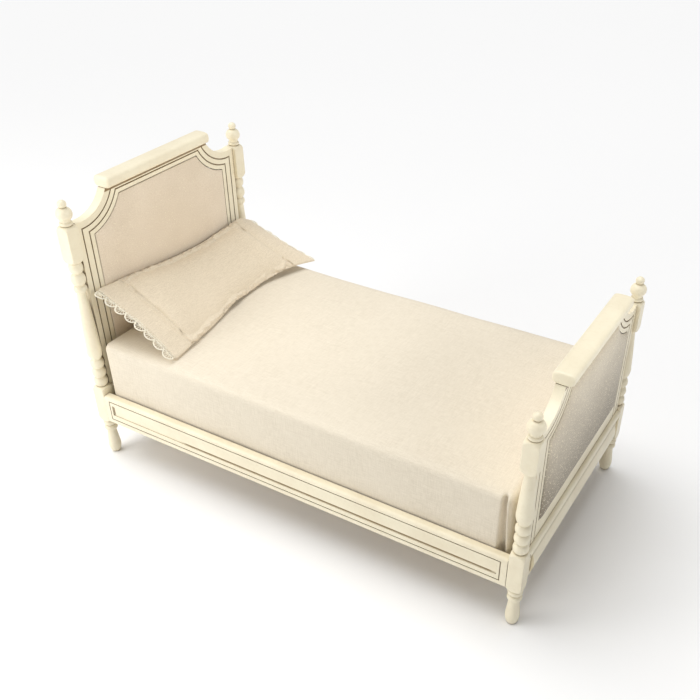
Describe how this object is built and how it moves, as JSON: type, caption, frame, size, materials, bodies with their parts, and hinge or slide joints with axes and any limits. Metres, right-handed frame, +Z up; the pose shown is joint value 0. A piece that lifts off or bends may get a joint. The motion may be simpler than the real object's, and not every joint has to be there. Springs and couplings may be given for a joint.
{
  "type": "dolls house four poster bed",
  "caption": "Miniature single bed with turned posts, ball finials, scooped upholstered head and foot boards, a covered mattress and a lace-edged pillow.",
  "frame": {"origin": "on the floor, midway between the four legs", "axes": "+X across the bed, +Y along the bed towards the headboard, +Z up"},
  "size_m": [0.1018, 0.1924, 0.1155],
  "materials": {
    "painted_wood": "satin ivory paint with antique gold-brown in the recesses",
    "bare_wood": "plain sanded wood",
    "board_core": "plain card",
    "upholstery_fabric": "fine greige brocade with a light sheen",
    "cover_fabric": "cream linen weave",
    "pillow_fabric": "cream cotton",
    "lace": "ivory crochet",
    "filling": "soft wadding"
  },
  "bodies": {
    "frame": {"head_post_left": "painted_wood", "head_post_right": "painted_wood", "foot_post_left": "painted_wood", "foot_post_right": "painted_wood", "side_rail_left": "painted_wood", "side_rail_right": "painted_wood", "slat_ledge_left": "bare_wood", "slat_ledge_right": "bare_wood", "slat_1": "bare_wood", "slat_2": "bare_wood", "slat_3": "bare_wood", "slat_4": "bare_wood", "slat_5": "bare_wood", "slat_6": "bare_wood", "slat_7": "bare_wood", "head_rail": "painted_wood", "foot_rail": "painted_wood", "head_rail_moulding": "painted_wood", "foot_rail_moulding": "painted_wood", "headboard_frame": "painted_wood", "headboard_cap": "painted_wood", "headboard_front_pad": "upholstery_fabric", "headboard_core": "board_core", "headboard_back_pad": "upholstery_fabric", "headboard_dowels": "bare_wood", "footboard_frame": "painted_wood", "footboard_cap": "painted_wood", "footboard_front_pad": "upholstery_fabric", "footboard_core": "board_core", "footboard_back_pad": "upholstery_fabric", "footboard_dowels": "bare_wood"},
    "mattress": {"mattress_cover": "cover_fabric", "mattress_filling": "filling"},
    "pillow": {"pillowcase": "pillow_fabric", "pillow_filling": "filling", "pillow_lace_left": "lace", "pillow_lace_right": "lace"}
  },
  "joints": [
    {"name": "mattress_lift", "type": "slide", "parent": "frame", "child": "mattress", "axis": [0, 0, 1], "range_m": [0, 0.095]},
    {"name": "pillow_lift", "type": "slide", "parent": "mattress", "child": "pillow", "axis": [0, -0.3, 0.9539], "range_m": [0, 0.04]}
  ]
}
